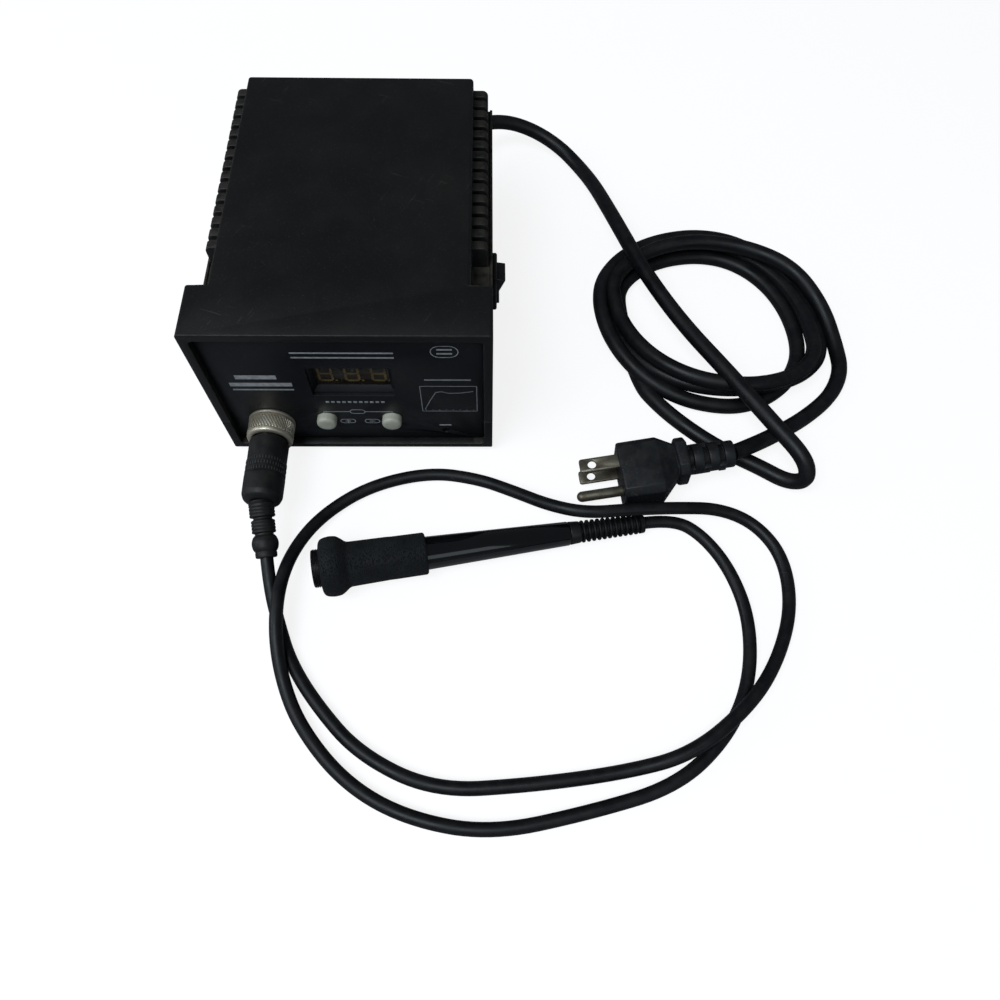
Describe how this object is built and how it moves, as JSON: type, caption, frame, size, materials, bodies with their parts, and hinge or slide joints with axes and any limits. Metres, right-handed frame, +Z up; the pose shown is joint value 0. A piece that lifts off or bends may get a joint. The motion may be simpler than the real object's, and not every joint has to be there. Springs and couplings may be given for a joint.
{
  "type": "soldering iron station",
  "caption": "Benchtop soldering station with vented housing, display panel, plug-in iron on a cord, and mains lead with a grounded plug.",
  "frame": {"origin": "middle of the housing's footprint, on the plane that its feet stand on", "axes": "+Z up, -Y towards the front panel, +X to the right of a person facing the front panel's rear, the side with the power switch"},
  "size_m": [0.2989, 0.3783, 0.087],
  "materials": {
    "housing_black": "fine textured moulded plastic, dusty and worn grey on its ledges",
    "panel_black": "satin printed panel",
    "display_resin": "smoked resin over unlit segments",
    "button_cream": "smooth cream moulding",
    "switch_black": "smooth black moulding",
    "trimmer_blue": "moulded",
    "brass_contact": "turned",
    "board_green": "solder mask",
    "steel_plated": "zinc plated",
    "nickel": "nickel plated, worn",
    "rubber_black": "dusty matte rubber",
    "handle_gloss": "polished",
    "grip_foam": "closed-cell foam",
    "collar_black": "moulded thread",
    "core_steel": "varnished laminations",
    "copper_winding": "enamelled wire",
    "cord_pvc": "satin PVC",
    "brass_blade": "dull nickel over brass",
    "feet_rubber": "soft moulded rubber"
  },
  "bodies": {
    "root": {"base_shell": "housing_black", "board_screws": "steel_plated", "board_spacers": "steel_plated", "bracket_screws": "steel_plated", "case_screws": "steel_plated", "connector_body": "rubber_black", "connector_relief": "rubber_black", "control_board": "board_green", "cord_gland": "rubber_black", "display_bezel": "panel_black", "front_panel": "panel_black", "fuse_cap": "switch_black", "fuse_holder": "switch_black", "gland_nut": "switch_black", "ground_pin": "brass_blade", "iron_cap": "switch_black", "iron_collar": "collar_black", "iron_cord": "cord_pvc", "iron_grip": "grip_foam", "iron_relief": "rubber_black", "iron_socket": "switch_black", "iron_tube": "handle_gloss", "led_display": "display_resin", "mains_coil": "cord_pvc", "mains_lead": "cord_pvc", "mains_tail": "cord_pvc", "panel_socket": "nickel", "plug_blades": "brass_blade", "plug_body": "cord_pvc", "plug_relief": "cord_pvc", "rear_panel": "panel_black", "rubber_feet": "feet_rubber", "socket_nut": "nickel", "switch_housing": "switch_black", "tact_switches": "switch_black", "top_cover": "housing_black", "transformer_bracket": "steel_plated", "transformer_core": "core_steel", "transformer_winding": "copper_winding", "trimmer_body": "trimmer_blue"},
    "up_button": {"up_button": "button_cream"},
    "down_button": {"down_button": "button_cream"},
    "power_rocker": {"power_rocker": "switch_black"},
    "trimmer_screw": {"trimmer_screw": "brass_contact"},
    "coupling_ring": {"coupling_ring": "nickel"}
  },
  "joints": [
    {"name": "up_button_press", "type": "slide", "parent": "root", "child": "up_button", "axis": [0, 1, 0], "range_m": [0, 0.001], "stiffness_N_per_m": 300, "springref_m": -0.0005},
    {"name": "down_button_press", "type": "slide", "parent": "root", "child": "down_button", "axis": [0, 1, 0], "range_m": [0, 0.001], "stiffness_N_per_m": 300, "springref_m": -0.0005},
    {"name": "power_rocker_tilt", "type": "hinge", "parent": "root", "child": "power_rocker", "pos_m": [0.058, -0.012, 0.048], "axis": [0, -1, 0], "range_deg": [0, 20]},
    {"name": "calibration_turn", "type": "hinge", "parent": "root", "child": "trimmer_screw", "pos_m": [0.0387, -0.0625, 0.0132], "axis": [0, -1, 0], "range_deg": [-135, 135]},
    {"name": "coupling_ring_turn", "type": "hinge", "parent": "root", "child": "coupling_ring", "pos_m": [-0.039, -0.0755, 0.021], "axis": [0, -1, 0], "range_deg": [0, 540]}
  ]
}
